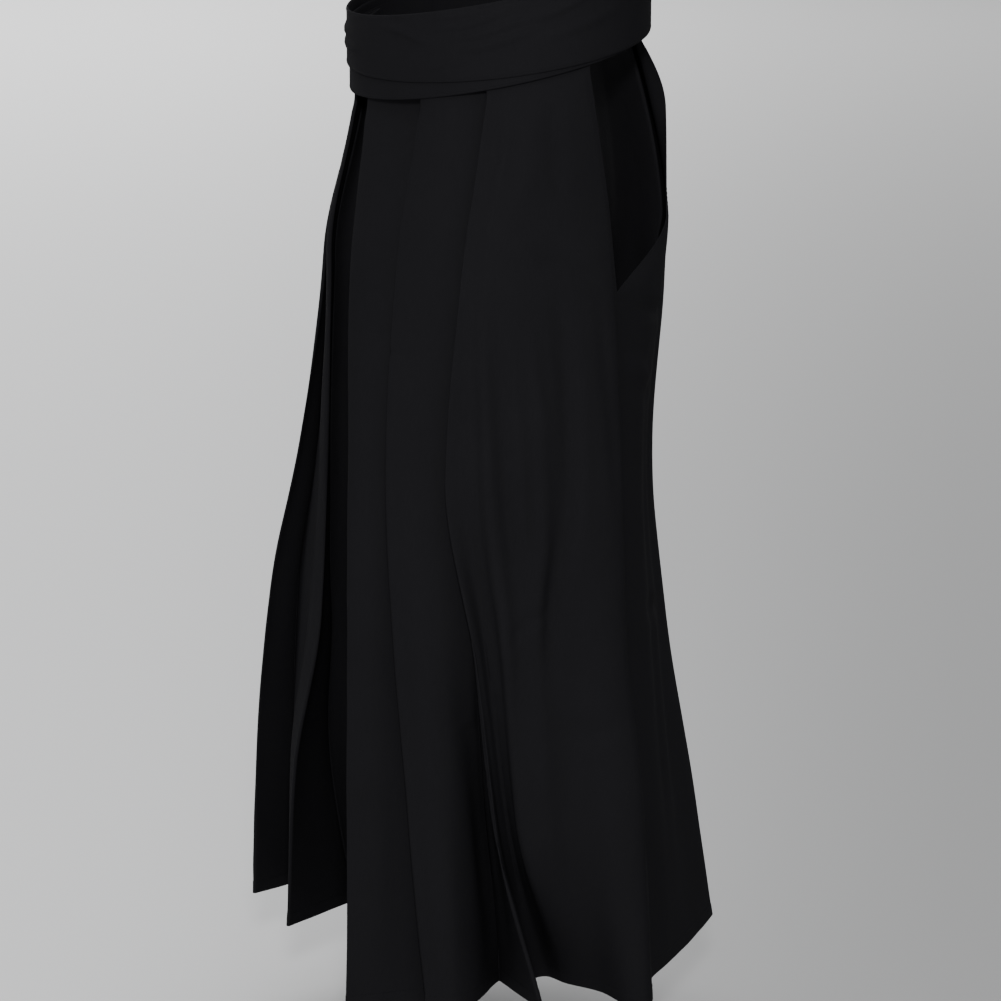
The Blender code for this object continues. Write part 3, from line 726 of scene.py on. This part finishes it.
def belt_wrap(name, low, high, layer, creases, seed):
    """One turn of the belt, on an ellipse outside the panels, with soft rounded edges.

    `low` and `high` are its edges' heights as functions of the angle from the front. Across,
    its thickness follows a half circle over the last three millimetres before each edge. The
    first turn (layer 0) lies a gap away from the panels, and the second a gap from the first.
    """
    half_panel, gap, mean_radius, rim, thinnest = 0.8, 0.3, 145.0, 0.04, 0.12
    lowest, highest = (-0.9, 3.4) if layer else (0.0, 0.15)
    angle = np.linspace(0, 2 * np.pi, 360, endpoint=False)
    ends = 1 - np.cos(np.linspace(0, np.pi / 2, 7))
    share = np.concatenate([ends * rim, np.linspace(rim, 1 - rim, 24)[1:-1], 1 - ends[::-1] * rim])
    top, bottom = high(angle), low(angle)
    flat_z = top + (bottom - top) * share[:, None]
    out = half_panel + gap + BELT_CLOTH / 2 + layer * (BELT_CLOTH + gap)
    run = (angle * mean_radius)[None] + 0 * flat_z
    lift = np.zeros(flat_z.shape)
    degrees = np.degrees(angle)
    for line, width, depth in creases:
        line = np.array(line, float)
        middle = np.interp(degrees, line[:, 0], line[:, 1])
        t = ((degrees - line[0, 0]) / (line[-1, 0] - line[0, 0]))[None]
        d = flat_z - middle
        lift += depth * np.exp(-(d / width) ** 2) * smooth(0.0, 0.4, t) * smooth(1.0, 0.6, t)
    lift += 0.5 * unevenness(run, flat_z.mean(axis=1), seed)
    lift *= smooth(0.0, 0.12, share)[:, None] * smooth(1.0, 0.88, share)[:, None]
    lift = np.clip(lift, lowest, highest)
    x = (WAIST[0] + out + lift) * np.sin(angle)
    y = -(WAIST[1] + out + lift) * np.cos(angle)
    grid = np.stack([x, y, flat_z + BELT_TILT * y], axis=-1)
    near_edge = np.clip(np.minimum(share, 1 - share) / rim, 0.0, 1.0)[:, None]
    thickness = thinnest + (BELT_CLOTH - thinnest) * np.sqrt(1 - (1 - near_edge) ** 2) + 0 * flat_z
    piece = shell(name, np.concatenate([grid[:, -1:], grid, grid[:, :1]], axis=1), thickness, closed=True)
    piece.data.materials.append(cotton(name + "_cotton", black=(0.0101, 0.0099, 0.0111)))
    outward = np.stack([np.sin(angle) / WAIST[0], -np.cos(angle) / WAIST[1], 0 * angle], axis=-1)
    return Panel(piece, grid, unit(outward)[None] + 0 * grid, share, flat_z)


under_wrap = belt_wrap("belt_first_turn", lambda a: -BELT_HEIGHT / 2 + 0 * a, lambda a: 28.0 + 0 * a, 0, [],
                       seed=7.0)
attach(under_wrap.piece, "root")
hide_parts("belt_under_wrap")

# The belt's second turn is the same strip, wound on over the first one. Its lower edge rises and
# falls across it, and slanted pulls show where the strip is drawn tight.
BELT_WRINKLES = [
    # The line of each pull in (degrees from the front, height), its width and its depth.
    ([(4, 33), (20, 24), (37, 6)], 3.4, 2.9),
    ([(26, 35), (42, 33), (60, 37)], 3.4, 2.6),
    ([(30, 24), (46, 23), (66, 31)], 3.2, 2.5),
    ([(34, 12), (52, 13), (74, 22)], 3.4, 2.5),
    ([(36, 1), (54, 2), (76, 9)], 4.0, 2.3),
    ([(62, 16), (80, 19), (100, 29)], 3.4, 2.3),
    ([(68, -3), (88, 0), (112, 6)], 4.5, 1.8),
    ([(12, -8), (30, -9), (50, -5)], 4.5, 1.4),
    ([(95, 22), (125, 16), (150, 20)], 4, 2.2),
    ([(118, 4), (140, 2), (170, -6)], 5, 1.9),
    ([(165, 20), (190, 14), (215, 22)], 4, 2.3),
    ([(196, -4), (220, 2), (246, 8)], 4, 2.2),
    ([(225, 26), (250, 20), (275, 26)], 3.5, 2.4),
    ([(240, 10), (262, 14), (288, 22)], 3.5, 2.4),
    ([(280, 2), (305, 6), (330, 4)], 4, 2.0),
    ([(300, 28), (322, 20), (350, 16)], 3.5, 2.5),
    ([(318, 12), (338, 6), (357, 4)], 3.5, 2.2),
]
outer_wrap = belt_wrap("belt_second_turn", lambda a: -24.5 + 12.5 * np.cos(a + 1.0),
                       lambda a: BELT_HEIGHT / 2 + 0 * a, 1, BELT_WRINKLES, seed=8.0)
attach(outer_wrap.piece, "root")
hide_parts("belt_outer_wrap")

# Black thread holds the turned-in hems, the edges of the side openings and the belt's two
# edges. Each line is a row of short machine stitches that sink a little into the cloth.


def thread_finish():
    """Twisted black polyester thread, a little glossier than the cloth."""
    thread = bpy.data.materials.new("black_thread")
    thread.use_nodes = True
    nodes, links = thread.node_tree.nodes, thread.node_tree.links
    shader = nodes["Principled BSDF"]
    shader.inputs["Base Color"].default_value = (0.0095, 0.0095, 0.0102, 1.0)
    shader.inputs["Roughness"].default_value = 0.6
    shader.inputs["Specular IOR Level"].default_value = 0.03
    place, twist, bump = (nodes.new("ShaderNode" + kind) for kind in ("TexCoord", "TexNoise", "Bump"))
    twist.inputs["Scale"].default_value = 4000.0
    bump.inputs["Strength"].default_value = 0.4
    bump.inputs["Distance"].default_value = 0.0001
    links.new(place.outputs["Object"], twist.inputs["Vector"])
    links.new(twist.outputs["Fac"], bump.inputs["Height"])
    links.new(bump.outputs["Normal"], shader.inputs["Normal"])
    return thread


THREAD = thread_finish()


def stitched(name, lines):
    """Stitches along lines of cloth, each line given as points, outward normals and cloth thickness.

    A stitch is a tube from one needle hole to the next. Its middle rises over the cloth by
    sin(pi s) of its radius, and its own radius is (1 - (2s - 1)^4)^(1/2) of the full one.
    """
    pitch, length, radius, sunk, sides = 4.2, 2.9, 0.20, 0.35, 5
    holes, ends, ups = [], [], []
    for points, up, thick in lines:
        along = travelled(points, 0)
        first = np.arange(pitch / 2, along[-1] - length, pitch)
        surface = points + unit(up) * thick / 2
        for target, at in ((holes, first), (ends, first + length)):
            target.append(np.stack([np.interp(at, along, surface[:, k]) for k in range(3)], axis=-1))
        ups.append(unit(np.stack([np.interp(first, along, up[:, k]) for k in range(3)], axis=-1)))
    a, b, up = np.concatenate(holes), np.concatenate(ends), np.concatenate(ups)
    across = unit(np.cross(b - a, up))
    s = np.array([0.04, 0.14, 0.35, 0.65, 0.86, 0.96])
    size = radius * np.sqrt(1 - (2 * s - 1) ** 4)
    centre = (a[:, None] + (b - a)[:, None] * s[:, None]
              + up[:, None] * (radius * (np.sin(np.pi * s) - sunk))[:, None])
    turn = np.arange(sides) * 2 * np.pi / sides
    outwards = up[:, None, None] * np.cos(turn)[:, None] + across[:, None, None] * np.sin(turn)[:, None]
    ring = centre[:, :, None] + size[:, None, None] * outwards
    number = np.arange(len(s) * sides).reshape(len(s), sides)
    wrap = np.concatenate([number, number[:, :1]], axis=1)
    quads = np.stack([wrap[:-1, :-1], wrap[:-1, 1:], wrap[1:, 1:], wrap[1:, :-1]], axis=-1).reshape(-1, 4)
    faces = [*quads, number[0, ::-1], number[-1]]
    start = np.cumsum([0] + [len(face) for face in faces])
    corners = np.concatenate(faces)
    each = np.arange(len(a))[:, None]
    mesh = bpy.data.meshes.new(name)
    mesh.vertices.add(len(a) * number.size)
    mesh.vertices.foreach_set("co", ring.ravel() / 1000.0)
    mesh.loops.add(len(a) * len(corners))
    mesh.loops.foreach_set("vertex_index", (corners[None] + number.size * each).ravel())
    mesh.polygons.add(len(a) * len(faces))
    mesh.polygons.foreach_set("loop_start", (start[None, :-1] + start[-1] * each).ravel())
    mesh.update(calc_edges=True)
    mesh.shade_smooth()
    mesh.materials.append(THREAD)
    piece = bpy.data.objects.new(name, mesh)
    bpy.context.scene.collection.objects.link(piece)
    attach(piece, "root")


def hem_line(panel):
    """A panel's row at the height of the hem's stitches, with its normals and its thickness."""
    row = int(np.abs(panel.z - HEM_STITCHES).argmin())
    return panel.grid[row], panel.normal[row], CLOTH + HEM_FOLD


def edge_line(panel, high):
    """A line down a panel beside its outer edge, from a height to the side opening's lower end."""
    inset = 7.0
    step = np.linalg.norm(np.diff(panel.grid, axis=1), axis=2)
    left_over = np.cumsum(step[:, ::-1], axis=1)[:, ::-1]
    rows = np.where((panel.z < high) & (panel.z > VENT))[0]
    column = np.abs(left_over[rows] - inset).argmin(axis=1)
    return panel.grid[rows, column], panel.normal[rows, column], CLOTH


def belt_line(belt, share):
    """A line round the belt, at a share of the way from its upper edge to its lower one."""
    row = int(np.abs(belt.number - share).argmin())
    points, normal = (np.concatenate([grid[row], grid[row, :1]]) for grid in (belt.grid, belt.normal))
    return points, normal, BELT_CLOTH


stitched("left_hem_stitches",
         [hem_line(left_front), hem_line(left_back), hem_line(left_inner)])
stitched("right_hem_stitches",
         [hem_line(right_front), hem_line(right_back), hem_line(right_inner)])
stitched("left_opening_stitches",
         [edge_line(left_front, -66.0), edge_line(left_back, -120.0)])
stitched("right_opening_stitches",
         [edge_line(right_front, -66.0), edge_line(right_back, -120.0)])
stitched("belt_first_turn_stitches", [belt_line(under_wrap, 0.96)])
stitched("belt_second_turn_stitches",
         [belt_line(outer_wrap, 0.04), belt_line(outer_wrap, 0.96)])
